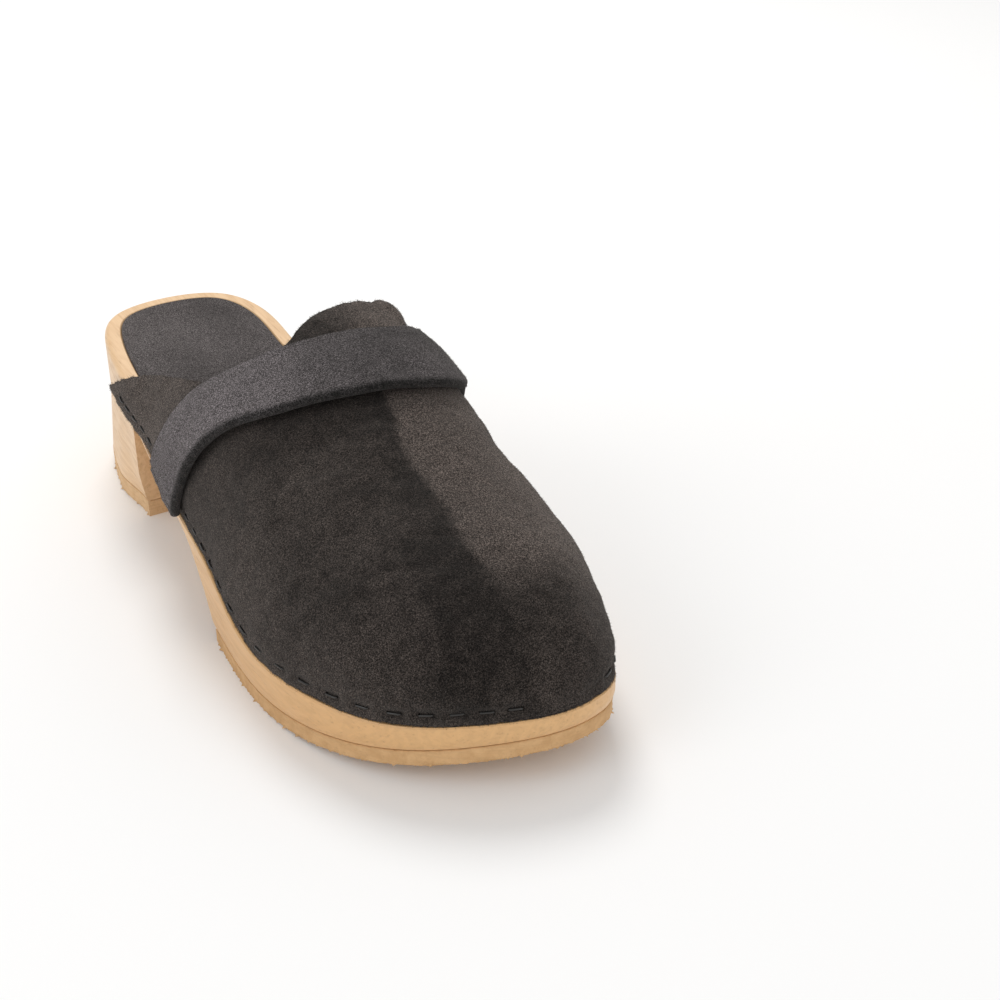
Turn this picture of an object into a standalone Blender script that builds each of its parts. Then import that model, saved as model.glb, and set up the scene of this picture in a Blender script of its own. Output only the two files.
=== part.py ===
"""A wooden-soled clog for the right foot, as an assembly of its separate pieces.

The toe points to -Y, the inner side of the foot is at +X, and the clog stands on z = 0.
Along the clog, s is the distance from the back of the heel towards the toe, so y = MIDDLE - s.
Tables give s and a size in millimetres, and table() turns them into metres.
"""

import math

import bmesh
import bpy
import numpy as np
from mathutils import Matrix, Vector

# ---- driving dimensions, in metres ----
LENGTH = 0.250
MIDDLE = LENGTH / 2
GAP = 0.0003

RUBBER = 0.0045
HEEL_TIP = 0.0055
SPRING_START = 0.175
TOE_SPRING = 0.0115
HEEL_FACE = 0.0625
OUTSOLE_BACK = 0.143
END_REACH = 0.024
HEEL_ROUND = 0.055
TOE_ROUND = 0.190
STEP = 0.0004

LEATHER = 0.0020
STRAP_WIDTH = 0.0255
STRAP_AT_BACK = 0.0021
STRAP_AT_FRONT = 0.0031
STRAP_END = 0.97
LIFT_AT_BACK = 0.6
LIFT_AT_FRONT = 1.2
SOCK = 0.0012
SOCK_MARGIN = 0.0058
SOCK_RECESS = 0.0012
DISH = 0.0016
PUFF = 0.0009
PUFF_FLOOR = 0.0335

CURL = 0.0042
CURL_TURN = 0.54
CURL_SPREAD = 0.14
CURL_FRONT = 0.127
CURL_FADE = 0.008
TOE_START = 0.185
DOME_START = 0.200

EDGE_FROM = 0.054
STAPLE_HEIGHT = 0.0034
STAPLE_CROWN = 0.0042
STAPLE_LEG = 0.0085
WIRE = 0.0007
SUNK = 0.0001
STAPLE_ROOM = 0.0002
ROOM_ABOVE = 0.0012
EDGE_MARGIN = 0.0042
STAPLES_ON_FLAP_OUTER = 6
STAPLES_ON_FLAP_INNER = 6
STAPLES_ON_STRAP = 3
STAPLES_ON_VAMP = 34
CLOSER_AT_TOE = 0.18


def table(*rows):
    """Rows of numbers in millimetres, as an array in metres."""
    return np.array(rows, float) / 1000


# The sole seen from above: (x, s) once round from the back of the heel, inner side first.
OUTLINE = table(
    (0, 0), (20, 6.5), (27.6, 25), (26.5, 60), (34, 100), (40.5, 140), (45, 175), (44.2, 205),
    (36, 230), (29, 243), (11.7, 250), (-7, 244.5), (-26.6, 230), (-40.9, 205), (-46, 175),
    (-43.6, 140), (-40.3, 100), (-35.6, 60), (-30.2, 25), (-21.7, 6.5),
)

# Heights along the clog: (s, z).
SEAM = table((0, 41.7), (60, 38.7), (100, 32.2), (140, 26), (180, 17.4), (220, 18), (250, 22.4))
RIM = table((0, 49.5), (60, 46.5), (100, 40.5), (140, 34), (180, 26.5), (220, 27), (250, 31.5))
SHANK = table((62, 25), (80, 23.5), (100, 19.5), (120, 12.5), (133, 7), (142, 4.8), (250, 4.8))
BEVEL = table((62, 10), (100, 10.5), (120, 12), (134, 6), (142, 0), (250, 0))
CREST = table((45, 79), (85, 86), (118, 85.5), (140, 80.5), (165, 71), (190, 61.5), (212, 55.5),
              (232, 51), (250, 47))

# Widths along the clog: (s, size). FOOT is how far the wood's lower edge lies inside its outline: the
# heel flares a little towards the floor, and ROUNDING is the size of the rounded edge of the footbed.
FOOT = table((0, 0), (12, -2.0), (38, -2.2), (62.5, 1.8), (90, 0.7), (250, 0.7))
ROUNDING = table((0, 2), (55, 2), (85, 4.2), (250, 4.2))
RIDGE = table((45, 1), (60, 3), (118, 12), (160, 10), (200, 8.5), (235, 11.5), (250, 11.7))
RABBET = table((0, 0), (58, 0), (85, 2.7), (250, 2.7))
PROUD = table((0, 2.6), (58, 2.6), (85, -0.4), (250, -0.4))
BULGE_INNER = table((45, 0), (110, 4.4), (132, 2.4), (150, 2.2), (190, 1.5), (235, 1.0), (250, 0))
BULGE_OUTER = table((45, 0), (110, 0.7), (150, 1.5), (190, 1.2), (235, 1.0), (250, 0))

# How square the arch of the upper is: (s in mm, exponent), where 2 is an ellipse.
ARCH_INNER = np.array([(45, 2.2), (118, 3.0), (140, 3.0), (170, 2.4), (250, 2.3)])
ARCH_OUTER = np.array([(45, 1.9), (120, 1.9), (170, 2.15), (250, 2.3)])

# Across the upper, a turn of -1 is its outer lower edge, 0 its ridge and 1 its inner lower edge.
# These tables are (turn, s in mm) and (turn, mm).
TOPLINE = np.array([(-1, 42), (-0.95, 46), (-0.82, 60), (-0.73, 72), (-0.66, 83), (-0.6, 94),
                    (-0.55, 104), (-0.5, 115), (-0.42, 125), (-0.33, 128), (-0.23, 126),
                    (-0.14, 122), (0, 119.5), (0.19, 118), (0.32, 117.5), (0.42, 115.5), (0.5, 117),
                    (0.56, 119), (0.61, 121), (0.66, 117), (0.72, 101), (0.79, 81), (0.87, 61),
                    (0.94, 48), (1, 42)])
STRAP_BACK = np.array([(-1, 94), (-0.59, 111), (-0.33, 127), (-0.06, 135), (0.19, 137),
                       (0.41, 134), (0.65, 122), (1, 104)])
STRAP_LIFT = np.array([(-1, 0), (-0.86, 0.4), (-0.62, 2.0), (-0.35, 2.4), (0, 1.9), (0.3, 1.2),
                       (0.5, 0.4), (0.62, 0.2), (1, 0)])

# The footbed's rounded edge, as shares of the rounding: (in from the side, down from the rim).
RIM_PROFILE = ((0.24, 0.76), (0.52, 0.24), (1, 0.02))

# The strap's section: (share of its width from its back edge, share of its thickness from below).
SECTION = np.array([(0, 0.8), (0.02, 1), (0.25, 1), (0.5, 1), (0.75, 1), (0.9, 1), (0.96, 0.92),
                    (0.993, 0.68), (0.993, 0.32), (0.96, 0.08), (0.9, 0), (0.75, 0), (0.5, 0),
                    (0.25, 0), (0.02, 0), (0, 0.2)])


# ---- curves ----
def smooth(points, at):
    """The smooth curve through (place, value) points, read at the places given, never overshooting."""
    place, value = np.asarray(points, float).T
    at = np.clip(at, place[0], place[-1])
    step = np.diff(place)
    rise = np.diff(value) / step
    slope = np.zeros_like(value)
    slope[0], slope[-1] = rise[0], rise[-1]
    before, after = rise[:-1], rise[1:]
    turns = before * after <= 0
    safe = np.where(turns, 1, before + after)
    slope[1:-1] = np.where(turns, 0, 2 * before * after / safe)
    i = np.clip(np.searchsorted(place, at, side="right") - 1, 0, len(step) - 1)
    t = (at - place[i]) / step[i]
    return (
        value[i] * (1 + 2 * t) * (1 - t) ** 2
        + value[i + 1] * t * t * (3 - 2 * t)
        + step[i] * (slope[i] * t * (1 - t) ** 2 - slope[i + 1] * t * t * (1 - t))
    )


def closed_curve(points, steps):
    """Points along the closed cubic spline through the given ones, in steps to each."""
    count = len(points)
    after = np.roll(points, -1, axis=0)
    span = np.linalg.norm(after - points, axis=1)
    back = np.roll(span, 1)
    slope = (after - points) / span[:, None]
    matrix = np.diag(2 * (back + span))
    for i in range(count):
        matrix[i, (i - 1) % count] += back[i]
        matrix[i, (i + 1) % count] += span[i]
    bend = np.linalg.solve(matrix, 6 * (slope - np.roll(slope, 1, axis=0)))
    found = []
    for i in range(count):
        j = (i + 1) % count
        for t in np.linspace(0, 1, steps, endpoint=False):
            u = 1 - t
            sag = (t**3 - t) * bend[j] + (u**3 - u) * bend[i]
            found.append(u * points[i] + t * points[j] + sag * span[i] ** 2 / 6)
    return np.array(found)


class Outline:
    """The sole's outline, moved inwards by a distance that may change along the clog."""

    curve = closed_curve(OUTLINE, 60)

    def __init__(self, inset):
        along = np.roll(self.curve, -1, axis=0) - np.roll(self.curve, 1, axis=0)
        along /= np.linalg.norm(along, axis=1)[:, None]
        outward = np.column_stack([along[:, 1], -along[:, 0]])
        moved = self.curve - outward * np.broadcast_to(inset, len(self.curve))[:, None]
        moved = np.roll(moved, -moved[:, 1].argmin(), axis=0)
        tip = moved[:, 1].argmax()
        self.back, self.front = moved[0, 1], moved[tip, 1]
        self.inner = moved[:tip + 1]
        self.outer = np.concatenate([moved[:1], moved[:tip - 1:-1]])

    def x(self, s, inner):
        """The outline's x at s, on the inner or the outer side."""
        side = self.inner if inner else self.outer
        return np.interp(s, np.maximum.accumulate(side[:, 1]), side[:, 0])


def end_shift(s, at_heel, at_toe):
    """A shift that grows smoothly towards each rounded end and leaves the heel's face alone."""
    heel = np.clip((HEEL_ROUND - s) / HEEL_ROUND, 0, 1) ** 2
    toe = np.clip((s - TOE_ROUND) / (LENGTH - TOE_ROUND), 0, 1) ** 2
    return s + at_heel * heel + at_toe * toe


def stations(back, front):
    """Values of s along the sole, closer together where its ends are round and at the heel's face."""
    turn = np.linspace(0, math.pi / 2, 11)
    heel = HEEL_FACE * (1 - np.cos(turn))
    waist = np.linspace(HEEL_FACE + STEP, TOE_ROUND, 14)
    toe = TOE_ROUND + (LENGTH - TOE_ROUND) * np.sin(turn[1:])
    every = np.concatenate([heel, waist, toe])
    inside = every[(every > back + 1e-5) & (every < front - 1e-5)]
    return np.concatenate([[back], inside, [front]])


# ---- the sole's shape ----
def ground(s):
    """The height of the clog's underside over the floor."""
    return TOE_SPRING * np.clip((s - SPRING_START) / (LENGTH - SPRING_START), 0, None) ** 2


def wood_bottom(s, middle):
    """The wood's underside, where middle is 0 at the edge and 1 on the centre line."""
    shank = smooth(SHANK, s) + ground(s)
    edge = smooth(BEVEL, s) * np.clip(1 - middle / 0.5, 0, 1) ** 1.5
    return np.where(s <= HEEL_FACE + 1e-4, HEEL_TIP + GAP, shank + edge)


def wood_top(s, middle):
    """The footbed inside its rim, which is cut down for the sock and dished towards its centre line."""
    return smooth(RIM, s) - SOCK_RECESS - DISH * middle**1.5


def ring(outline, back, front, shrink, height):
    """A closed ring of points: up the inner side from back to front, and down the outer side.

    shrink draws the ring in to the centre line, and height gives z from s and the shrink.
    """
    s = end_shift(stations(back, front), outline.back, outline.front - LENGTH)
    sides = []
    for inner in (True, False):
        centre = (outline.x(s, True) + outline.x(s, False)) / 2
        x = centre + (outline.x(s, inner) - centre) * (1 - shrink)
        moved = end_shift(s, shrink * END_REACH, -shrink * END_REACH)
        side = np.column_stack([x, MIDDLE - moved, height(moved, shrink)])
        sides.append(side if inner else side[::-1])
    return np.concatenate(sides)


# ---- the upper's shape ----
UPPER_EDGE = Outline(-smooth(PROUD, Outline.curve[:, 1]))


def crest(s):
    """The height of the upper along its ridge, which closes down to the seam at the toe."""
    low = smooth(SEAM, LENGTH)
    closing = np.clip((s - DOME_START) / (UPPER_EDGE.front - DOME_START), 0, 1)
    return low + (smooth(CREST, s) - low) * np.sqrt(1 - closing**3)


def curl(s, across):
    """How much the free edge of the instep stands up, behind the strap on the inner side."""
    turn = np.arcsin(across) * 2 / math.pi
    fade = np.clip((CURL_FRONT - s) / CURL_FADE, 0, 1)
    return CURL * np.exp(-(((turn - CURL_TURN) / CURL_SPREAD) ** 2)) * fade**2 * (3 - 2 * fade)


def upper_surface(s, across):
    """The upper's outer face. across runs from -1 at the outer edge over the ridge to 1."""
    s, across = np.broadcast_arrays(s, across)
    inner = across > 0
    ridge = smooth(RIDGE, s)
    width = np.where(inner, UPPER_EDGE.x(s, True) - ridge, ridge - UPPER_EDGE.x(s, False))
    square = np.where(inner, np.interp(s * 1000, *ARCH_INNER.T), np.interp(s * 1000, *ARCH_OUTER.T))
    rise = np.clip(1 - np.abs(across) ** square, 0, 1) ** (1 / square)
    bulge = np.where(inner, smooth(BULGE_INNER, s), -smooth(BULGE_OUTER, s))
    bulge = bulge * np.sin(np.pi * rise**0.7) * np.sqrt(np.abs(across))
    low = smooth(SEAM, s)
    high = np.maximum(crest(s), low)
    x = ridge + width * across + bulge
    return np.stack([x, MIDDLE - s, low + (high - low) * rise + curl(s, across)], axis=-1)


def raised(s, across, distance):
    """Points that stand off the upper's outer face by a distance along its normal."""
    step = 0.004
    inside = np.clip(across, -1 + step, 1 - step)
    near = np.clip(s, None, UPPER_EDGE.front - STEP)
    along = upper_surface(near - STEP, inside) - upper_surface(near + STEP, inside)
    over = upper_surface(near, inside + step) - upper_surface(near, inside - step)
    normal = np.cross(over, along)
    normal /= np.linalg.norm(normal, axis=-1)[..., None]
    return upper_surface(s, across) + normal * np.asarray(distance)[..., None]


def toe_grid(turn, forward):
    """(s, across) on the toe for a square grid, drawn onto the half dome with no pole in it."""
    a, b = np.sin(math.pi / 2 * turn), np.sin(math.pi / 2 * forward)
    side = a * np.sqrt(1 - b * b / 2)
    ahead = b * np.sqrt(1 - a * a / 2)
    half = np.sqrt(np.clip(1 - ahead**2, 0, None))
    across = np.where(half > 1e-6, side / np.maximum(half, 1e-6), 0)
    return TOE_START + (UPPER_EDGE.front - TOE_START) * ahead, np.clip(across, -1, 1)


def edge_line(height):
    """Points on the upper's face at a height over its lower edge, right round it."""
    s = EDGE_FROM + (LENGTH - EDGE_FROM) * np.sin(np.linspace(0, math.pi / 2, 600))
    s = s[s < UPPER_EDGE.front]
    room = crest(s) - smooth(SEAM, s)
    s, rise = s[room > height], height / room[room > height]
    sides = []
    for sign, arch in ((-1, ARCH_OUTER), (1, ARCH_INNER)):
        square = np.interp(s * 1000, *arch.T)
        sides.append(upper_surface(s, sign * (1 - rise**square) ** (1 / square)))
    return np.concatenate([sides[0], sides[1][::-1]])


# ---- making objects ----
def clear_scene():
    for thing in list(bpy.data.objects):
        bpy.data.objects.remove(thing, do_unlink=True)


def new_collection(name):
    made = bpy.data.collections.new(name)
    bpy.context.scene.collection.children.link(made)
    return made


def material(name, colour, roughness, metallic=0.0):
    made = bpy.data.materials.new(name)
    made.use_nodes = True
    shader = made.node_tree.nodes["Principled BSDF"]
    shader.inputs["Base Color"].default_value = (*colour, 1)
    shader.inputs["Roughness"].default_value = roughness
    shader.inputs["Metallic"].default_value = metallic
    made.diffuse_color = (*colour, 1)
    return made


def add_object(name, data, collection, finish):
    made = bpy.data.objects.new(name, data)
    collection.objects.link(made)
    if finish and not data.materials:
        data.materials.append(finish)
    return made


def finish_mesh(name, mesh_work):
    bmesh.ops.remove_doubles(mesh_work, verts=mesh_work.verts, dist=1e-6)
    mesh = bpy.data.meshes.new(name)
    mesh_work.to_mesh(mesh)
    mesh_work.free()
    mesh.shade_smooth()
    mesh.set_sharp_from_angle(angle=math.radians(35))
    return mesh


def add_quads(mesh_work, rows, closed):
    """Quads between each row of vertices and the next."""
    for low, high in zip(rows, rows[1:]):
        last = len(low) if closed else len(low) - 1
        for i in range(last):
            j = (i + 1) % len(low)
            mesh_work.faces.new((low[i], high[i], high[j], low[j]))


def lofted(name, rings):
    """A closed solid through rings from its bottom to its top, closed straight across at both ends."""
    work = bmesh.new()
    rows = [[work.verts.new(point) for point in each] for each in rings]
    add_quads(work, rows, closed=True)
    for row, facing_up in ((rows[0], False), (rows[-1], True)):
        half = len(row) // 2
        for i in range(half - 1):
            corners = (row[i], row[i + 1], row[-2 - i], row[-1 - i])
            work.faces.new(corners if facing_up else corners[::-1])
    bmesh.ops.remove_doubles(work, verts=work.verts, dist=1e-6)
    bmesh.ops.recalc_face_normals(work, faces=work.faces)
    return finish_mesh(name, work)


def sheet(name, grid):
    """An open surface from a grid of points, its normals facing out of the clog."""
    work = bmesh.new()
    rows = [[work.verts.new(point) for point in row] for row in grid]
    add_quads(work, rows, closed=False)
    return finish_mesh(name, work)


def solidify(thing, thickness):
    shell = thing.modifiers.new("thickness", "SOLIDIFY")
    shell.thickness = thickness
    shell.offset = -1
    shell.use_even_offset = True


def cut_with(thing, cutter):
    cut = thing.modifiers.new("holes", "BOOLEAN")
    cut.operation = "DIFFERENCE"
    cut.solver = "EXACT"
    cut.object = cutter


# ---- the pieces ----
def build_sole(parts, wood):
    """One block of wood from heel to toe: the heel is part of it, and the waist is undercut."""
    s = Outline.curve[:, 1]
    foot, rabbet, rounding = smooth(FOOT, s), smooth(RABBET, s), smooth(ROUNDING, s)
    full, base, flare = Outline(0), Outline(foot), Outline(np.minimum(foot, 0) / 2)
    bed = Outline(rabbet + SOCK_MARGIN - GAP)

    def side(share):
        def height(at, shrink):
            low, high = wood_bottom(at, 0), smooth(SEAM, at) - GAP
            return low + (high - low) * share
        return height

    def rim(drop):
        return lambda at, shrink: smooth(RIM, at) - drop * smooth(ROUNDING, at)

    rings = [ring(base, 0, LENGTH, shrink, wood_bottom) for shrink in (0.85, 0.5, 0.2)]
    rings += [ring(base, 0, LENGTH, 0, side(0)), ring(flare, 0, LENGTH, 0, side(0.35))]
    rings += [ring(full, 0, LENGTH, 0, side(0.7)), ring(full, 0, LENGTH, 0, side(1))]
    rings.append(ring(Outline(rabbet), 0, LENGTH, 0, side(1)))
    for across, down in RIM_PROFILE:
        rings.append(ring(Outline(rabbet + across * rounding), 0, LENGTH, 0, rim(down)))
    rings.append(ring(bed, 0, LENGTH, 0, rim(0)))
    rings += [ring(bed, 0, LENGTH, shrink, wood_top) for shrink in (0.01, 0.2, 0.5, 0.85)]
    return add_object("wooden_sole", lofted("wooden_sole", rings), parts, wood)


def build_outsoles(parts, rubber):
    """The rubber under the forefoot and the rubber tip under the heel."""
    edge = Outline(smooth(FOOT, Outline.curve[:, 1]))
    rings = [
        ring(edge, OUTSOLE_BACK, LENGTH, 0, lambda at, shrink: ground(at)),
        ring(edge, OUTSOLE_BACK, LENGTH, 0, lambda at, shrink: ground(at) + RUBBER),
    ]
    add_object("outsole_forefoot", lofted("outsole_forefoot", rings), parts, rubber)
    rings = [
        ring(edge, 0, HEEL_FACE, 0, lambda at, shrink: np.zeros_like(at)),
        ring(edge, 0, HEEL_FACE, 0, lambda at, shrink: np.full_like(at, HEEL_TIP)),
    ]
    add_object("heel_tip", lofted("heel_tip", rings), parts, rubber)


def build_sock(parts, suede):
    """The suede sock that is glued over the footbed."""
    inset = smooth(RABBET, Outline.curve[:, 1]) + SOCK_MARGIN

    def raised_top(extra):
        return lambda at, shrink: wood_top(at, shrink) + extra

    under = [ring(Outline(inset), 0, LENGTH, shrink, raised_top(GAP)) for shrink in (0.85, 0.5, 0.2, 0)]
    high = raised_top(GAP + SOCK)
    over = [ring(Outline(inset), 0, LENGTH, shrink, high) for shrink in (0, 0.2, 0.5, 0.85)]
    add_object("insole_sock", lofted("insole_sock", under + over), parts, suede)


def build_upper(parts, suede):
    """The one-piece suede upper, from its raised topline to its edge round the toe."""
    turn = np.linspace(-1, 1, 39)
    top = smooth(TOPLINE, turn) / 1000
    across = np.sin(math.pi / 2 * turn)
    grid = [upper_surface(top + (TOE_START - top) * t, across) for t in np.linspace(0, 1, 13)]
    for forward in np.linspace(0, 1, 13)[1:]:
        grid.append(upper_surface(*toe_grid(turn, forward)))
    upper = add_object("upper_vamp", sheet("upper_vamp", grid), parts, suede)
    solidify(upper, LEATHER)
    return upper


def build_toe_puff(parts, board):
    """The stiffener inside the toe, which stops above the footbed."""
    turn = np.linspace(-0.9, 0.9, 21)
    grid = []
    for forward in np.linspace(0.12, 0.9, 10):
        grid.append(raised(*toe_grid(turn, forward), -(LEATHER + GAP)))
    mesh = sheet("toe_puff", grid)
    work = bmesh.new()
    work.from_mesh(mesh)
    every = work.verts[:] + work.edges[:] + work.faces[:]
    bmesh.ops.bisect_plane(
        work, geom=every, plane_co=(0, 0, PUFF_FLOOR), plane_no=(0, 0, 1), clear_inner=True
    )
    work.to_mesh(mesh)
    work.free()
    puff = add_object("toe_puff", mesh, parts, board)
    solidify(puff, PUFF)


def strap_thickness(share):
    """The strap is folded along its front edge, so it is thicker there."""
    return STRAP_AT_BACK + (STRAP_AT_FRONT - STRAP_AT_BACK) * share


def build_strap(parts, suede):
    """The band across the instep, which stands off the upper between its stapled ends."""
    turn = np.linspace(-STRAP_END, STRAP_END, 45)
    across = np.sin(math.pi / 2 * turn)
    back = smooth(STRAP_BACK, turn) / 1000
    reach = upper_surface(back + STRAP_WIDTH, across) - upper_surface(back, across)
    stretch = STRAP_WIDTH / np.linalg.norm(reach, axis=-1)
    lift = smooth(STRAP_LIFT, turn) / 1000
    lines = []
    for share, level in SECTION:
        clear = lift * (LIFT_AT_BACK + (LIFT_AT_FRONT - LIFT_AT_BACK) * share)
        off = GAP + clear + strap_thickness(share) * level
        lines.append(raised(back + STRAP_WIDTH * stretch * share, across, off))
    return add_object("strap", lofted("strap", np.swapaxes(lines, 0, 1)), parts, suede)


def staple_corners(grown, top):
    """A staple seen flat, its crown's upper side on y = 0, grown all round by a distance."""
    half = STAPLE_CROWN / 2 + grown
    inner = STAPLE_CROWN / 2 - WIRE - grown
    foot, under = -STAPLE_LEG - grown, -WIRE - grown
    return [
        (-half, foot), (-inner, foot), (-inner, under), (inner, under),
        (inner, foot), (half, foot), (half, top), (-half, top),
    ]


def staple_solid(work, place, corners, width):
    """Adds a staple's outline, drawn out to a width, to a bmesh."""
    faces = []
    for z in (-width / 2, width / 2):
        verts = [work.verts.new(place @ Vector((x, y, z))) for x, y in corners]
        faces.append(verts)
    work.faces.new(faces[0][::-1])
    work.faces.new(faces[1])
    for i in range(len(corners)):
        j = (i + 1) % len(corners)
        work.faces.new((faces[0][i], faces[0][j], faces[1][j], faces[1][i]))


def staple_distances(line, travelled):
    """How far along the edge each staple is, and how thick the strap is there."""
    s = MIDDLE - line[:, 1]
    outer = np.arange(len(s)) < s.argmax()

    def reach(at, on_outer):
        near = np.where(outer == on_outer, np.abs(s - at), 1)
        return travelled[near.argmin()]

    back_outer, back_inner = smooth(STRAP_BACK, np.array([-1, 1])) / 1000
    stops = [
        0, reach(back_outer, True), reach(back_outer + STRAP_WIDTH, True),
        reach(back_inner + STRAP_WIDTH, False), reach(back_inner, False), travelled[-1],
    ]
    counts = (
        STAPLES_ON_FLAP_OUTER, STAPLES_ON_STRAP, STAPLES_ON_VAMP, STAPLES_ON_STRAP, STAPLES_ON_FLAP_INNER,
    )
    found = []
    for number, (start, stop, count) in enumerate(zip(stops, stops[1:], counts)):
        share = np.linspace(0, 1, count)
        if number == 2:
            share = share - CLOSER_AT_TOE * np.sin(4 * math.pi * share) / (4 * math.pi)
        width = stop - start - 2 * EDGE_MARGIN
        towards_toe = (EDGE_MARGIN + width * share) / (stop - start)
        if number == 3:
            towards_toe = 1 - towards_toe
        under = strap_thickness(towards_toe) + GAP if number in (1, 3) else 0 * share
        found += zip(start + EDGE_MARGIN + width * share, under)
    return found


def staple_places():
    """A matrix for each staple: its X along the edge, its Y out of the leather."""
    line, above = edge_line(STAPLE_HEIGHT), edge_line(STAPLE_HEIGHT + 0.001)
    travelled = np.concatenate([[0], np.cumsum(np.linalg.norm(np.diff(line, axis=0), axis=1))])
    places = []
    for at, under in staple_distances(line, travelled):
        spot, before, after = (
            Vector([np.interp(at + step, travelled, line[:, k]) for k in range(3)])
            for step in (0, -STAPLE_CROWN / 2, STAPLE_CROWN / 2)
        )
        nearest = above[np.linalg.norm(above - np.array(spot), axis=1).argmin()]
        along = (after - before).normalized()
        out = along.cross(Vector(nearest) - spot).normalized()
        out *= math.copysign(1, out.x * spot.x + out.y * (spot.y + 0.05))
        turned = Matrix((along, out, along.cross(out))).transposed().to_4x4()
        places.append(Matrix.Translation(spot + out * (under - SUNK)) @ turned)
    return places


def build_staples(parts, cutters, steel):
    """The staples round the upper's edge, and one cutter that makes room for them all."""
    room = bmesh.new()
    for number, place in enumerate(staple_places(), start=1):
        work = bmesh.new()
        staple_solid(work, Matrix(), staple_corners(0, 0), WIRE)
        mesh = bpy.data.meshes.new("staple")
        work.to_mesh(mesh)
        work.free()
        staple = add_object(f"staple_{number:02d}", mesh, parts, steel)
        staple.matrix_world = place
        staple_solid(room, place, staple_corners(STAPLE_ROOM, ROOM_ABOVE), WIRE + 2 * STAPLE_ROOM)
    bmesh.ops.recalc_face_normals(room, faces=room.faces)
    cutter = add_object("staple_holes", finish_mesh("staple_holes", room), cutters, None)
    cutter.hide_render = True
    cutter.display_type = "WIRE"
    return cutter


def main():
    clear_scene()
    parts, cutters = new_collection("wooden_clog"), new_collection("cutters")
    cutters.hide_render = True
    wood = material("wood", (0.66, 0.42, 0.22), 0.5)
    suede = material("suede", (0.052, 0.045, 0.040), 0.95)
    strap_suede = material("strap_suede", (0.066, 0.060, 0.056), 0.95)
    sock_suede = material("sock_suede", (0.080, 0.070, 0.062), 0.95)
    board = material("stiffener", (0.35, 0.30, 0.24), 0.8)
    rubber = material("rubber", (0.50, 0.30, 0.15), 0.7)
    steel = material("staple_steel", (0.10, 0.10, 0.10), 0.4, metallic=1.0)
    pierced = [build_sole(parts, wood), build_upper(parts, suede), build_strap(parts, strap_suede)]
    build_outsoles(parts, rubber)
    build_sock(parts, sock_suede)
    build_toe_puff(parts, board)
    holes = build_staples(parts, cutters, steel)
    for thing in pierced:
        cut_with(thing, holes)


main()
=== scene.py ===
"""Looks for the wooden clog: fine surfaces, suede, wood and rubber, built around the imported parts.

Sizes are in metres, in the parts' own frame: the toe points to -Y and the inner side of the foot is at +X.
Along the clog, s is the distance from the back of the heel towards the toe, so y = MIDDLE - s.
"""

import math

import bmesh
import bpy
import numpy as np
from mathutils import Matrix, Vector


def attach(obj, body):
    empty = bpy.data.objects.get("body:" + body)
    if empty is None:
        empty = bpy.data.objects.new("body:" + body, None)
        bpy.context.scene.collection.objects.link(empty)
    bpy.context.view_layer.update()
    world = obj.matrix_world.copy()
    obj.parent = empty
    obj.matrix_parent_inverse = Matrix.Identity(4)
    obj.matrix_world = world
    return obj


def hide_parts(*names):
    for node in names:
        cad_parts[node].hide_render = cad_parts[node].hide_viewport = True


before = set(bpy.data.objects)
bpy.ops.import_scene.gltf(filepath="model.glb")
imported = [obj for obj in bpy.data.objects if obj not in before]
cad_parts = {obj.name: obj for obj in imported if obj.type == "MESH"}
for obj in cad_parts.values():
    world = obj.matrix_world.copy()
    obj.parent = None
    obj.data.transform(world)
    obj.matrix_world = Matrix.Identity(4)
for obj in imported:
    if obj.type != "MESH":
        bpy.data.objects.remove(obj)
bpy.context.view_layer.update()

# ---- the parts' driving dimensions ----
LENGTH = 0.250
MIDDLE = LENGTH / 2
GAP = 0.0003
RUBBER = 0.0045
HEEL_TIP = 0.0055
SPRING_START = 0.175
TOE_SPRING = 0.0115
HEEL_FACE = 0.0625
OUTSOLE_BACK = 0.143
END_REACH = 0.024
LEATHER = 0.0020
STRAP_WIDTH = 0.0255
STRAP_AT_BACK = 0.0021
STRAP_AT_FRONT = 0.0031
STRAP_END = 0.97
SOCK = 0.0012
SOCK_MARGIN = 0.0058
SOCK_RECESS = 0.0012
DISH = 0.0016
CURL = 0.0042
CURL_TURN = 0.54
CURL_SPREAD = 0.14
CURL_FRONT = 0.127
CURL_FADE = 0.008
TOE_START = 0.185
DOME_START = 0.200
STAPLE_CROWN = 0.0042
STAPLE_LEG = 0.0085
STAPLE_BEND = 0.0005
WIRE = 0.0007
STEP = 0.0004  # a small step along the clog
HEEL_ROUND = 0.055  # how far from the back the heel is round in plan
TOE_ROUND = 0.190  # where the toe starts to be round in plan
CROWN_UP = 0.0003  # how far a staple's crown stands up from the leather that it holds
CROWN_LOOSE = 0.0012  # a crown that stands higher than this has no leather under it

# ---- the fine meshes and the fibres ----
TORN_EDGE = 0.00035  # how far the middle of a cut edge stands out
RAW_BAND = 0.00095  # how far from the middle of the strap's cut edge its suede is raw
FACE_ROWS = 34  # rows of points across the strap's face
FOLD_ROWS = 15  # and round the fold of its front edge
UNDER_ROWS = 16  # and across its underside
FACE_MIDDLE = 20  # a row in the middle of its face
FACE_FRONT = 30  # a row near the front of its face
FOLD_FRONT = 40  # the row furthest forward on its fold
UPPER_FIBRES = 48000
STRAP_FIBRES = 18000
UPPER_FRAY = 9000
STRAP_FRAY = 2600
NAP_FIBRE = 0.000042
FRAY_FIBRE = 0.000045

# ---- the stage ----
FLOOR = 9.0  # half the floor's side
AIM = (0, 0, 0.03)  # where the lamps point


def table(*rows):
    """Rows of numbers in millimetres, as an array in metres."""
    return np.array(rows, float) / 1000


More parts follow.
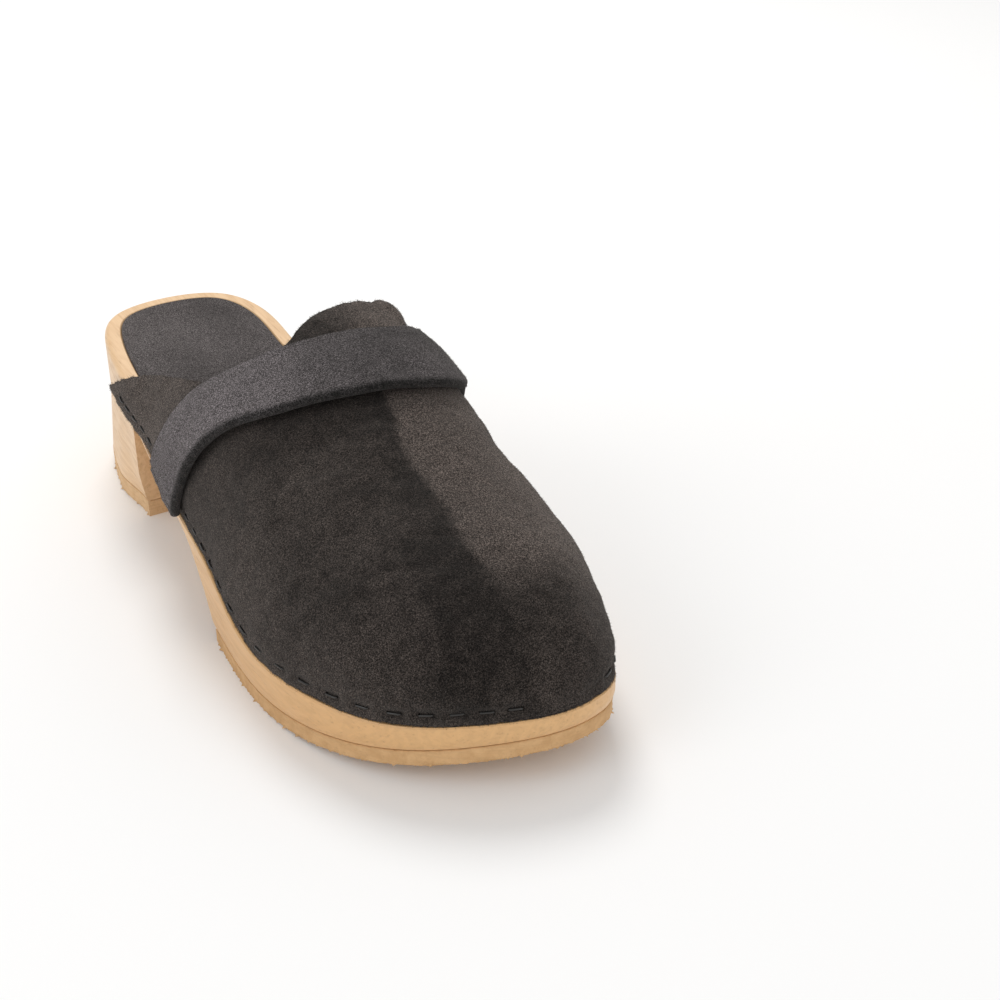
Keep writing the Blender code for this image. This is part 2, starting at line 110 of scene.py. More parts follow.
# The sole seen from above: (x, s) once round from the back of the heel, inner side first.
OUTLINE = table(
    (0, 0), (20, 6.5), (27.6, 25), (26.5, 60), (34, 100), (40.5, 140), (45, 175), (44.2, 205),
    (36, 230), (29, 243), (11.7, 250), (-7, 244.5), (-26.6, 230), (-40.9, 205), (-46, 175),
    (-43.6, 140), (-40.3, 100), (-35.6, 60), (-30.2, 25), (-21.7, 6.5),
)

# Heights along the clog: (s, z).
SEAM = table((0, 41.7), (60, 38.7), (100, 32.2), (140, 26), (180, 17.4), (220, 18), (250, 22.4))
RIM = table((0, 49.5), (60, 46.5), (100, 40.5), (140, 34), (180, 26.5), (220, 27), (250, 31.5))
SHANK = table((62, 25), (80, 23.5), (100, 19.5), (120, 12.5), (133, 7), (142, 4.8), (250, 4.8))
BEVEL = table((62, 10), (100, 10.5), (120, 12), (134, 6), (142, 0), (250, 0))
CREST = table((45, 79), (85, 86), (118, 85.5), (140, 80.5), (165, 71), (190, 61.5), (212, 55.5),
              (232, 51), (250, 47))

# Widths along the clog: (s, size). FOOT is how far the wood's lower edge lies inside its outline: the
# heel flares a little towards the floor, and ROUNDING is the size of the rounded edge of the footbed.
FOOT = table((0, 0), (12, -2.0), (38, -2.2), (62.5, 1.8), (90, 0.7), (250, 0.7))
ROUNDING = table((0, 2), (55, 2), (85, 4.2), (250, 4.2))
RIDGE = table((45, 1), (60, 3), (118, 12), (160, 10), (200, 8.5), (235, 11.5), (250, 11.7))
RABBET = table((0, 0), (58, 0), (85, 2.7), (250, 2.7))
PROUD = table((0, 2.6), (58, 2.6), (85, -0.4), (250, -0.4))
BULGE_INNER = table((45, 0), (110, 4.4), (132, 2.4), (150, 2.2), (190, 1.5), (235, 1.0), (250, 0))
BULGE_OUTER = table((45, 0), (110, 0.7), (150, 1.5), (190, 1.2), (235, 1.0), (250, 0))

# How square the arch of the upper is: (s in mm, exponent), where 2 is an ellipse.
ARCH_INNER = np.array([(45, 2.2), (118, 3.0), (140, 3.0), (170, 2.4), (250, 2.3)])
ARCH_OUTER = np.array([(45, 1.9), (120, 1.9), (170, 2.15), (250, 2.3)])

# Across the upper, a turn of -1 is its outer lower edge, 0 its ridge and 1 its inner lower edge.
# These tables are (turn, s in mm) and (turn, mm).
TOPLINE = np.array([(-1, 42), (-0.95, 46), (-0.82, 60), (-0.73, 72), (-0.66, 83), (-0.6, 94),
                    (-0.55, 104), (-0.5, 115), (-0.42, 125), (-0.33, 128), (-0.23, 126),
                    (-0.14, 122), (0, 119.5), (0.19, 118), (0.32, 117.5), (0.42, 115.5), (0.5, 117),
                    (0.56, 119), (0.61, 121), (0.66, 117), (0.72, 101), (0.79, 81), (0.87, 61),
                    (0.94, 48), (1, 42)])
NAP_LINE = table((100, 16), (128, 11), (150, 9), (170, 5.5), (190, 3.5), (210, 3), (250, 3))
STRAP_BACK = np.array([(-1, 94), (-0.59, 111), (-0.33, 127), (-0.06, 135), (0.19, 137),
                       (0.41, 134), (0.65, 122), (1, 104)])
STRAP_LIFT = np.array([(-1, 0), (-0.86, 0.4), (-0.62, 2.0), (-0.35, 2.4), (0, 1.9), (0.3, 1.2),
                       (0.5, 0.4), (0.62, 0.2), (1, 0)])


# ---- curves ----
def smooth(points, at):
    """The smooth curve through (place, value) points, read at the places given, never overshooting."""
    place, value = np.asarray(points, float).T
    at = np.clip(at, place[0], place[-1])
    step = np.diff(place)
    rise = np.diff(value) / step
    slope = np.zeros_like(value)
    slope[0], slope[-1] = rise[0], rise[-1]
    before, after = rise[:-1], rise[1:]
    turns = before * after <= 0
    safe = np.where(turns, 1, before + after)
    slope[1:-1] = np.where(turns, 0, 2 * before * after / safe)
    i = np.clip(np.searchsorted(place, at, side="right") - 1, 0, len(step) - 1)
    t = (at - place[i]) / step[i]
    return (
        value[i] * (1 + 2 * t) * (1 - t) ** 2
        + value[i + 1] * t * t * (3 - 2 * t)
        + step[i] * (slope[i] * t * (1 - t) ** 2 - slope[i + 1] * t * t * (1 - t))
    )


def closed_curve(points, steps):
    """Points along the closed cubic spline through the given ones, in steps to each."""
    count = len(points)
    after = np.roll(points, -1, axis=0)
    span = np.linalg.norm(after - points, axis=1)
    back = np.roll(span, 1)
    slope = (after - points) / span[:, None]
    matrix = np.diag(2 * (back + span))
    for i in range(count):
        matrix[i, (i - 1) % count] += back[i]
        matrix[i, (i + 1) % count] += span[i]
    bend = np.linalg.solve(matrix, 6 * (slope - np.roll(slope, 1, axis=0)))
    found = []
    for i in range(count):
        j = (i + 1) % count
        for t in np.linspace(0, 1, steps, endpoint=False):
            u = 1 - t
            sag = (t**3 - t) * bend[j] + (u**3 - u) * bend[i]
            found.append(u * points[i] + t * points[j] + sag * span[i] ** 2 / 6)
    return np.array(found)


class Outline:
    """The sole's outline, moved inwards by a distance that may change along the clog."""

    curve = closed_curve(OUTLINE, 90)

    def __init__(self, inset):
        along = np.roll(self.curve, -1, axis=0) - np.roll(self.curve, 1, axis=0)
        along /= np.linalg.norm(along, axis=1)[:, None]
        outward = np.column_stack([along[:, 1], -along[:, 0]])
        moved = self.curve - outward * np.broadcast_to(inset, len(self.curve))[:, None]
        moved = np.roll(moved, -moved[:, 1].argmin(), axis=0)
        tip = moved[:, 1].argmax()
        self.back, self.front = moved[0, 1], moved[tip, 1]
        self.inner = moved[:tip + 1]
        self.outer = np.concatenate([moved[:1], moved[:tip - 1:-1]])

    def x(self, s, inner):
        """The outline's x at s, on the inner or the outer side."""
        side = self.inner if inner else self.outer
        return np.interp(s, np.maximum.accumulate(side[:, 1]), side[:, 0])


def end_shift(s, at_heel, at_toe):
    """A shift that grows smoothly towards each rounded end and leaves the heel's face alone."""
    heel = np.clip((HEEL_ROUND - s) / HEEL_ROUND, 0, 1) ** 2
    toe = np.clip((s - TOE_ROUND) / (LENGTH - TOE_ROUND), 0, 1) ** 2
    return s + at_heel * heel + at_toe * toe


def stations(back, front, fine):
    """Values of s along the sole, closer together where its ends are round and at the heel's face."""
    turn = np.linspace(0, math.pi / 2, 10 * fine + 1)
    heel = HEEL_FACE * (1 - np.cos(turn))
    waist = np.linspace(HEEL_FACE + STEP, TOE_ROUND, 14 * fine)
    toe = TOE_ROUND + (LENGTH - TOE_ROUND) * np.sin(turn[1:])
    every = np.concatenate([heel, waist, toe])
    inside = every[(every > back + 1e-5) & (every < front - 1e-5)]
    return np.concatenate([[back], inside, [front]])


# ---- the sole's shape ----
def ground(s):
    """The height of the clog's underside over the floor."""
    return TOE_SPRING * np.clip((s - SPRING_START) / (LENGTH - SPRING_START), 0, None) ** 2


def wood_bottom(s, middle):
    """The wood's underside, where middle is 0 at the edge and 1 on the centre line."""
    shank = smooth(SHANK, s) + ground(s)
    edge = smooth(BEVEL, s) * np.clip(1 - middle / 0.5, 0, 1) ** 1.5
    return np.where(s <= HEEL_FACE + 1e-4, HEEL_TIP + GAP, shank + edge)


def wood_top(s, middle):
    """The footbed inside its rim, which is cut down for the sock and dished towards its centre line."""
    return smooth(RIM, s) - SOCK_RECESS - DISH * middle**1.5


def ring(outline, back, front, shrink, height, fine=5):
    """A closed ring of points: up the inner side from back to front, and down the outer side.

    shrink draws the ring in to the centre line, and height gives z from s and the shrink.
    """
    s = end_shift(stations(back, front, fine), outline.back, outline.front - LENGTH)
    sides = []
    for inner in (True, False):
        centre = (outline.x(s, True) + outline.x(s, False)) / 2
        x = centre + (outline.x(s, inner) - centre) * (1 - shrink)
        moved = end_shift(s, shrink * END_REACH, -shrink * END_REACH)
        side = np.column_stack([x, MIDDLE - moved, height(moved, shrink)])
        sides.append(side if inner else side[::-1])
    return np.concatenate(sides)


# ---- the upper's shape ----
UPPER_EDGE = Outline(-smooth(PROUD, Outline.curve[:, 1]))


def crest(s):
    """The height of the upper along its ridge, which closes down to the seam at the toe."""
    low = smooth(SEAM, LENGTH)
    closing = np.clip((s - DOME_START) / (UPPER_EDGE.front - DOME_START), 0, 1)
    return low + (smooth(CREST, s) - low) * np.sqrt(1 - closing**3)


def curl(s, across):
    """How much the free edge of the instep stands up, behind the strap on the inner side."""
    turn = np.arcsin(across) * 2 / math.pi
    fade = np.clip((CURL_FRONT - s) / CURL_FADE, 0, 1)
    return CURL * np.exp(-(((turn - CURL_TURN) / CURL_SPREAD) ** 2)) * fade**2 * (3 - 2 * fade)


def upper_surface(s, across):
    """The upper's outer face. across runs from -1 at the outer edge over the ridge to 1."""
    s, across = np.broadcast_arrays(s, across)
    inner = across > 0
    ridge = smooth(RIDGE, s)
    width = np.where(inner, UPPER_EDGE.x(s, True) - ridge, ridge - UPPER_EDGE.x(s, False))
    square = np.where(inner, np.interp(s * 1000, *ARCH_INNER.T), np.interp(s * 1000, *ARCH_OUTER.T))
    rise = np.clip(1 - np.abs(across) ** square, 0, 1) ** (1 / square)
    bulge = np.where(inner, smooth(BULGE_INNER, s), -smooth(BULGE_OUTER, s))
    bulge = bulge * np.sin(np.pi * rise**0.7) * np.sqrt(np.abs(across))
    low = smooth(SEAM, s)
    high = np.maximum(crest(s), low)
    x = ridge + width * across + bulge
    return np.stack([x, MIDDLE - s, low + (high - low) * rise + curl(s, across)], axis=-1)


def raised(s, across, distance):
    """Points that stand off the upper's outer face by a distance along its normal."""
    turn = 0.004
    inside = np.clip(across, -1 + turn, 1 - turn)
    near = np.clip(s, None, UPPER_EDGE.front - STEP)
    along = upper_surface(near - STEP, inside) - upper_surface(near + STEP, inside)
    over = upper_surface(near, inside + turn) - upper_surface(near, inside - turn)
    normal = np.cross(over, along)
    normal /= np.linalg.norm(normal, axis=-1)[..., None]
    return upper_surface(s, across) + normal * np.asarray(distance)[..., None]


def toe_grid(turn, forward):
    """(s, across) on the toe for a square grid, drawn onto the half dome with no pole in it."""
    a, b = np.sin(math.pi / 2 * turn), np.sin(math.pi / 2 * forward)
    side = a * np.sqrt(1 - b * b / 2)
    ahead = b * np.sqrt(1 - a * a / 2)
    half = np.sqrt(np.clip(1 - ahead**2, 0, None))
    across = np.where(half > 1e-6, side / np.maximum(half, 1e-6), 0)
    return TOE_START + (UPPER_EDGE.front - TOE_START) * ahead, np.clip(across, -1, 1)


# ---- making meshes ----
def ripple(points, size, seed, layers=18):
    """Smooth random waves of about a size, mostly from -1 to 1, at each point."""
    chance = np.random.default_rng(seed)
    way = chance.normal(size=(layers, 3))
    pace = 2 * math.pi / size * chance.uniform(0.6, 1.7, layers)
    way *= (pace / np.linalg.norm(way, axis=1))[:, None]
    waves = np.sin(np.asarray(points) @ way.T + chance.uniform(0, 2 * math.pi, layers))
    return waves.sum(axis=-1) / math.sqrt(layers)


def add_piece(name, data, looks):
    """Adds a mesh or curve as a piece that rides on the clog."""
    made = bpy.data.objects.new(name, data)
    bpy.context.scene.collection.objects.link(made)
    for look in looks:
        data.materials.append(look)
    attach(made, "root")
    return made


def shade(mesh, sharp):
    """Shades a mesh smooth, but for edges that turn by more than an angle in degrees."""
    mesh.shade_smooth()
    mesh.set_sharp_from_angle(angle=math.radians(sharp))


def grid_faces(index):
    """Quads over a grid of vertex numbers.

    They face out where its rows run to the toe and its columns to +X.
    """
    low, high = index[:-1], index[1:]
    return np.stack([low[:, :-1], high[:, :-1], high[:, 1:], low[:, 1:]], axis=-1).reshape(-1, 4)


def border(grid):
    """The values round a grid's edge, in order."""
    return np.concatenate([grid[0], grid[1:, -1], grid[-1, -2::-1], grid[-2:0:-1, 0]])


def shell(name, outer, inner, bulge):
    """A closed sheet between two grids of points, whose cut edge stands out by a bulge."""
    rows, columns = outer.shape[:2]
    index = np.arange(rows * columns).reshape(rows, columns)
    back = index + rows * columns
    reach = np.zeros_like(outer)
    reach[0], reach[-1] = outer[0] - outer[1], outer[-1] - outer[-2]
    reach[1:-1, 0] = (outer[:, 0] - outer[:, 1])[1:-1]
    reach[1:-1, -1] = (outer[:, -1] - outer[:, -2])[1:-1]
    reach = border(reach)
    reach /= np.linalg.norm(reach, axis=-1)[:, None]
    middle = (border(outer) + border(inner)) / 2 + reach * bulge
    rim, under = border(index), border(back)
    between = np.arange(len(middle)) + 2 * rows * columns
    faces = [grid_faces(index), grid_faces(back)[:, ::-1]]
    for a, b in ((rim, between), (between, under)):
        faces.append(np.stack([a, np.roll(a, -1), np.roll(b, -1), b], axis=-1))
    points = np.concatenate([outer.reshape(-1, 3), inner.reshape(-1, 3), middle])
    mesh = bpy.data.meshes.new(name)
    mesh.from_pydata(points.tolist(), [], np.concatenate(faces).tolist())
    shade(mesh, 50)
    # The cut edge's faces take the second look, the raw edge with its painted highlight.
    edge = np.zeros(len(mesh.polygons), int)
    edge[len(faces[0]) + len(faces[1]):] = 1
    mesh.polygons.foreach_set("material_index", edge)
    return mesh


def lofted(name, rings, sharp=40):
    """A closed solid through rings from its bottom to its top, closed straight across at both ends."""
    rings = np.asarray(rings)
    count, around = rings.shape[:2]
    index = np.arange(count * around).reshape(count, around)
    low, high = index[:-1], index[1:]
    sides = np.stack([low, np.roll(low, -1, axis=1), np.roll(high, -1, axis=1), high], axis=-1)
    faces = [sides.reshape(-1, 4)]
    i = np.arange(around // 2 - 1)
    for end in (index[0], index[-1]):
        faces.append(np.stack([end[i], end[i + 1], end[-2 - i], end[-1 - i]], axis=-1))
    mesh = bpy.data.meshes.new(name)
    mesh.from_pydata(rings.reshape(-1, 3).tolist(), [], np.concatenate(faces).tolist())
    work = bmesh.new()
    work.from_mesh(mesh)
    bmesh.ops.remove_doubles(work, verts=work.verts, dist=5e-6)
    bmesh.ops.dissolve_degenerate(work, edges=work.edges, dist=2e-6)
    bmesh.ops.recalc_face_normals(work, faces=work.faces)
    work.to_mesh(mesh)
    work.free()
    shade(mesh, sharp)
    return mesh


def outward(points):
    """Level unit vectors that point out of a closed ring of points."""
    along = np.roll(points, -1, axis=0) - np.roll(points, 1, axis=0)
    way = np.column_stack([-along[:, 1], along[:, 0], np.zeros(len(along))])
    way /= np.maximum(np.linalg.norm(way, axis=1), 1e-9)[:, None]
    centre = points.mean(axis=0)
    return way if ((points - centre) * way).sum() > 0 else -way


def fibres(name, roots, ways, lengths, width, looks, seed):
    """Many short pointed fibres, each a closed sliver, in as many looks as are given."""
    chance = np.random.default_rng(seed)
    count = len(roots)
    ways = ways / np.linalg.norm(ways, axis=1)[:, None]
    aside = np.cross(ways, chance.normal(size=(count, 3)))
    aside /= np.linalg.norm(aside, axis=1)[:, None]
    across = np.cross(ways, aside)
    points = [roots + ways * lengths[:, None]]
    for angle in (0, 2 * math.pi / 3, 4 * math.pi / 3):
        points.append(roots + width * (math.cos(angle) * aside + math.sin(angle) * across))
    points = np.stack(points, axis=1).reshape(-1, 3)
    first = 4 * np.arange(count)[:, None]
    corners = ((0, 1, 2), (0, 2, 3), (0, 3, 1), (3, 2, 1))
    faces = np.concatenate([first + np.array(corner) for corner in corners], axis=1)
    mesh = bpy.data.meshes.new(name)
    mesh.from_pydata(points.tolist(), [], faces.reshape(-1, 3).tolist())
    shades = chance.integers(0, len(looks), count)
    mesh.polygons.foreach_set("material_index", np.repeat(shades, len(corners)))
    add_piece(name, mesh, looks)


# ---- materials ----
class Look:
    """A material, with short ways to add the nodes behind its shader."""

    def __init__(self, name, **numbers):
        self.made = bpy.data.materials.new(name)
        self.made.use_nodes = True
        self.tree = self.made.node_tree
        self.shader = self.tree.nodes["Principled BSDF"]
        for socket, value in numbers.items():
            self.shader.inputs[socket.replace("_", " ")].default_value = value

    def node(self, kind, inputs, **settings):
        made = self.tree.nodes.new("ShaderNode" + kind)
        for key, value in settings.items():
            setattr(made, key, value)
        for key, value in inputs.items():
            socket = made.inputs[key]
            if isinstance(value, bpy.types.NodeSocket):
                self.tree.links.new(value, socket)
            else:
                socket.default_value = value
        return made

    def where(self):
        return self.node("TexCoord", {}).outputs["Object"]

    def along_clog(self):
        return self.node("SeparateXYZ", {"Vector": self.where()}).outputs["Y"]

    def place(self, stretch=(1, 1, 1), turned=(0, 0, 0)):
        inputs = {"Vector": self.where(), "Scale": stretch, "Rotation": turned}
        return self.node("Mapping", inputs).outputs[0]

    def noise(self, where, scale, detail=3.0, rough=0.6, bend=0.0):
        inputs = {"Vector": where, "Scale": scale, "Detail": detail, "Roughness": rough, "Distortion": bend}
        return self.node("TexNoise", inputs).outputs["Fac"]

    def math(self, operation, a, b=0.0):
        return self.node("Math", {0: a, 1: b}, operation=operation).outputs[0]

    def spread(self, value, low, high, to_low=0.0, to_high=1.0):
        inputs = {"Value": value, "From Min": low, "From Max": high, "To Min": to_low, "To Max": to_high}
        return self.node("MapRange", inputs, interpolation_type="SMOOTHSTEP").outputs[0]

    def mix(self, share, a, b):
        made = self.node("Mix", {"Factor": share}, data_type="RGBA")
        for socket, value in ((made.inputs[6], a), (made.inputs[7], b)):
            if isinstance(value, bpy.types.NodeSocket):
                self.tree.links.new(value, socket)
            else:
                socket.default_value = (*value, 1)
        return made.outputs[2]

    def attribute(self, name):
        return self.node("Attribute", {}, attribute_name=name).outputs["Fac"]

    def veil(self, under, share, most, colour):
        """Lays a colour over another one, where a share says and at most so strongly."""
        return self.mix(self.math("MULTIPLY", share, most), under, colour)

    def bump(self, height, distance, strength):
        inputs = {"Height": height, "Distance": distance, "Strength": strength}
        return self.node("Bump", inputs).outputs["Normal"]

    def finish(self, **sockets):
        for socket, value in sockets.items():
            self.tree.links.new(value, self.shader.inputs[socket.replace("_", " ")])
        return self.made


def suede_look(name, dark, light, seed):
    """Suede: dark and light nap in soft patches, with a fine speckle of fibres on top. The share of light
    comes from the mesh's nap attribute, which also carries painted light and shade.
    """
    look = Look(name, Roughness=0.95, Specular_IOR_Level=0.08, Sheen_Weight=0.1, Sheen_Roughness=0.5,
                Sheen_Tint=(1, 0.95, 0.9, 1))
    shift = (seed * 0.37, seed * 0.61, seed * 0.23)
    moved = look.node("VectorMath", {0: look.place(), 1: shift}, operation="ADD").outputs[0]
    patches = look.spread(look.noise(moved, 45, 2, 0.5, 0.4), 0.36, 0.66, -0.06, 0.06)
    mottle = look.spread(look.noise(moved, 260, 3, 0.6), 0.3, 0.7, -0.08, 0.08)
    # The nap attribute holds brushed nap and painted light and shade alike.
    share = look.math("ADD", look.attribute("nap"), look.math("ADD", patches, mottle))
    base = look.mix(look.math("MINIMUM", look.math("MAXIMUM", share, 0.0), 1.0), dark, light)
    grain = look.noise(moved, 2300, 1, 0.6)
    fine = look.noise(moved, 4000, 1, 0.6)
    fleck = look.spread(look.noise(moved, 3000, 1, 0.6), 0.64, 0.74, 0.0, 0.9)
    tone = look.spread(grain, 0.34, 0.66, 0.45, 1.50)
    tone = look.math("MULTIPLY", tone, look.spread(fine, 0.34, 0.66, 0.25, 1.75))
    tone = look.math("ADD", tone, fleck)
    colour = look.node("VectorMath", {0: base, "Scale": tone}, operation="SCALE").outputs[0]
    normal = look.bump(fine, 0.0004, 0.8)
    return look.finish(Base_Color=colour, Normal=normal)


def wood_look():
    """Pale wood with fine grain along the clog, more honey-coloured towards the toe."""
    look = Look("pale_wood", Specular_IOR_Level=0.5, Coat_Weight=0.2, Coat_Roughness=0.3)
    along = look.place((1, 0.05, 1), (0.02, 0.05, 0.03))
    across = look.place((1, 0.14, 1), (0.05, 0.0, 0.1))
    bands = look.math("SINE", look.math("MULTIPLY", look.noise(across, 60, 3, 0.55, 1.2), 60.0))
    lines = look.noise(along, 620, 4, 0.65, 0.3)
    pores = look.spread(look.noise(look.place((1, 0.03, 1)), 1500, 2, 0.6), 0.60, 0.76)
    broad = look.noise(across, 16, 2, 0.5)
    reach = look.math("ADD", look.along_clog(), look.math("MULTIPLY", broad, 0.05))
    colour = look.mix(look.spread(reach, 0.085, -0.03), (0.79, 0.535, 0.305), (0.71, 0.415, 0.175))
    colour = look.veil(colour, look.spread(broad, 0.35, 0.65), 0.25, (0.80, 0.53, 0.27))
    colour = look.veil(colour, look.spread(bands, -1, 1), 0.22, (0.56, 0.33, 0.145))
    colour = look.veil(colour, look.spread(lines, 0.42, 0.70), 0.38, (0.54, 0.31, 0.135))
    colour = look.veil(colour, pores, 0.35, (0.33, 0.17, 0.07))
    rough = look.spread(lines, 0.2, 0.8, 0.36, 0.56)
    normal = look.bump(look.math("SUBTRACT", lines, look.math("MULTIPLY", pores, 0.8)), 0.0002, 0.5)
    return look.finish(Base_Color=colour, Roughness=rough, Normal=normal)


def rubber_look():
    """Tan crumbly rubber in faint layers, paler at the heel."""
    look = Look("tan_rubber", Roughness=0.82, Specular_IOR_Level=0.3)
    where = look.place()
    crumbs = look.noise(where, 1100, 3, 0.7)
    coarse = look.noise(where, 260, 3, 0.6)
    layers = look.noise(look.place((0.4, 0.4, 5)), 300, 2, 0.5, 0.5)
    toe = look.mix(look.spread(coarse, 0.3, 0.7), (0.58, 0.345, 0.16), (0.68, 0.425, 0.21))
    heel = look.mix(look.spread(coarse, 0.3, 0.7), (0.70, 0.46, 0.25), (0.78, 0.53, 0.30))
    colour = look.mix(look.spread(look.along_clog(), 0.0, 0.05), toe, heel)
    colour = look.veil(colour, look.spread(layers, 0.4, 0.7), 0.3, (0.50, 0.30, 0.145))
    colour = look.veil(colour, look.spread(crumbs, 0.55, 0.75), 0.4, (0.42, 0.24, 0.115))
    normal = look.bump(look.math("ADD", crumbs, look.math("MULTIPLY", coarse, 1.5)), 0.0004, 0.7)
    return look.finish(Base_Color=colour, Normal=normal)


def plain_look(name, colour, rough, **numbers):
    """One colour all over, for a single fibre, a wire or the floor."""
    return Look(name, Base_Color=(*colour, 1), Roughness=rough, **numbers).made


def board_look():
    """The pressed board of the stiffener inside the toe."""
    look = Look("stiffener_board", Roughness=0.9)
    where = look.place()
    flecks = look.spread(look.noise(where, 900, 4, 0.7), 0.35, 0.7)
    colour = look.mix(flecks, (0.20, 0.165, 0.12), (0.34, 0.29, 0.22))
    normal = look.bump(look.noise(where, 1200, 3, 0.7), 0.0003, 0.6)
    return look.finish(Base_Color=colour, Normal=normal)


# ---- the staples ----
def settled(crown, out):
    """A crown, brought down to the upper on the inner side, where the strap ends above the row."""
    if crown[0] < 0:
        return crown
    s = MIDDLE - crown[1] + np.linspace(-0.002, 0.002, 21)
    across = np.sin(math.pi / 2 * np.linspace(0.85, 1, 151))
    above = np.linalg.norm(upper_surface(s[:, None], across[None, :]) - crown, axis=-1).min()
    return crown - out * (above - CROWN_UP) if above > CROWN_LOOSE else crown


def staple_frames():
    """Each staple's name and crown: the middle of its outer side, the way along it and the way out."""
    found = []
    for name in sorted(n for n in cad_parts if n.startswith("staple_")):
        points = np.array([v.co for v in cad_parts[name].data.vertices], float)
        points = np.unique(points.round(7), axis=0)
        middle = points.mean(axis=0)
        _, _, axes = np.linalg.svd(points - middle)
        out, along = axes[0], axes[1]
        level = (points - middle) @ out
        if np.ptp(level[level > 0]) < np.ptp(level[level < 0]):
            out, level = -out, -level
        found.append((name, settled(middle + out * level.max(), out), along, out))
    return found


def press(points, normals, staples, depth, reach):
    """Presses a surface in round each staple's crown."""
    sunk = np.zeros(points.shape[:-1])
    for _, crown, along, _ in staples:
        away = points - crown
        part = np.clip(away @ along, -STAPLE_CROWN / 2, STAPLE_CROWN / 2)
        distance = np.linalg.norm(away - part[..., None] * along, axis=-1)
        sunk = np.maximum(sunk, depth * np.exp(-((distance / reach) ** 2)))
    return points - normals * sunk[..., None]


def posed(place, axes):
    """The matrix of an object at a place, with its three axes along the given ones."""
    return Matrix.Translation(place) @ Matrix(axes).transposed().to_4x4()


def build_staples(staples, steel):
    """Bent wire staples in place of the plain ones, each a little askew."""
    chance = np.random.default_rng(11)
    half, bend = (STAPLE_CROWN - WIRE) / 2, STAPLE_BEND
    quarter = np.linspace(0, math.pi / 2, 6)
    side = [(half - bend + bend * math.sin(a), -bend + bend * math.cos(a)) for a in quarter]
    side += [(half, -STAPLE_LEG + WIRE / 2)]
    line = [(-x, y) for x, y in side[::-1]] + side
    for name, crown, along, out in staples:
        curve = bpy.data.curves.new(name + "_wire", "CURVE")
        curve.dimensions = "3D"
        curve.bevel_depth = WIRE / 2
        curve.bevel_resolution = 2
        curve.use_fill_caps = True
        spline = curve.splines.new("POLY")
        spline.points.add(len(line) - 1)
        for point, (x, y) in zip(spline.points, line):
            point.co = (x, y - WIRE / 2, 0, 1)
        askew, sink = chance.normal(0, 0.03), chance.uniform(-0.00012, 0.00006)
        way, up = Vector(along), Vector(out)
        flat = way.cross(up)
        way = (way + flat * askew).normalized()
        flat = way.cross(up).normalized()
        piece = bpy.data.objects.new(name + "_wire", curve)
        bpy.context.scene.collection.objects.link(piece)
        curve.materials.append(steel)
        piece.matrix_world = posed(Vector(crown) + up * sink, (way, up, flat))
        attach(piece, "root")
        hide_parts(name)


# ---- the pieces ----
def build_wood(wood):
    """The wooden sole, with its rim rounded over and its bed cut down for the sock."""
    s = Outline.curve[:, 1]
    foot, rabbet, rounding = smooth(FOOT, s), smooth(RABBET, s), smooth(ROUNDING, s)
    bed = rabbet + SOCK_MARGIN - GAP

    def side(share, lift=0.0):
        def height(at, shrink):
            low, high = wood_bottom(at, 0), smooth(SEAM, at) - GAP
            return low + (high - low) * share + lift
        return height

    def rim(rounded, drop=0.0):
        return lambda at, shrink: smooth(RIM, at) - rounded * smooth(ROUNDING, at) - drop

    def wood_ring(inset, height, shrink=0.0):
        return ring(Outline(inset), 0, LENGTH, shrink, height)

    rings = [
        wood_ring(foot, wood_bottom, shrink)
        for shrink in (0.92, 0.8, 0.65, 0.5, 0.45, 0.4, 0.33, 0.26, 0.2, 0.13, 0.07, 0.03)
    ]
    rings += [wood_ring(foot + 0.0003, side(0)), wood_ring(foot + 0.0001, side(0, 0.0002))]
    for share in (0.03, 0.1, 0.2, 0.35, 0.5, 0.6, 0.7):
        chamfer = np.maximum(foot, 0) * np.clip(1 - share / 0.35, 0, 1) ** 1.3
        flare = np.minimum(foot, 0) * (1 - share / 0.7)
        rings.append(wood_ring(chamfer + flare, side(share)))
    rings += [wood_ring(0, side(share)) for share in (0.82, 0.93)]
    rings += [wood_ring(0, side(1, -0.0004)), wood_ring(np.minimum(0.0004, rabbet), side(1))]
    rings += [wood_ring(rabbet, side(1))]
    for angle in np.linspace(0, math.pi / 2, 12):
        inset = rabbet + rounding * (1 - math.cos(angle))
        rings.append(wood_ring(inset, rim(1.05 * (1 - math.sin(angle)))))
    rings += [wood_ring(bed - 0.0003, rim(0)), wood_ring(bed, rim(0, 0.0003))]
    rings += [wood_ring(bed, wood_top, shrink) for shrink in (0.01, 0.07, 0.2, 0.35, 0.5, 0.7, 0.85)]
    piece = add_piece("sole_wood", lofted("sole_wood", rings), [wood])
    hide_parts("wooden_sole")


def ragged(name, back, front, thick, floor, seed):
    """A rubber tread whose lower edge is torn into small points."""
    edge = Outline(smooth(FOOT, Outline.curve[:, 1]))
    # How far up each ring lies, how far inside the outline, and how torn it is.
    fringe = (
        (0.0, 0.0010, 0.0), (0.0, 0.0001, 1.0), (0.0003, 0.0, 0.9), (0.0007, 0.0, 0.5), (0.0014, 0.0, 0.2),
        (thick * 0.6, 0.0, 0.12), (thick - 0.0001, -0.0001, 0.08), (thick + 0.0001, 0.0002, 0.0),
    )
    rings = []
    for lift, inset, torn in fringe:
        line = ring(edge, back, front, 0, lambda at, shrink: floor(at) + lift, 16)
        teeth = np.clip(ripple(line, 0.0010, seed), 0, None) ** 2 * 0.00028
        teeth = teeth + ripple(line, 0.0006, seed + 1) * 0.00010
        line = line + outward(line) * (teeth * torn - inset)[:, None]
        hang = np.clip(ripple(line, 0.0009, seed + 2), 0, 1.8) ** 2 * 0.00020
        line[:, 2] -= hang * torn * (line[:, 2] > 0.0008)
        rings.append(line)
    return lofted(name, rings, 60)


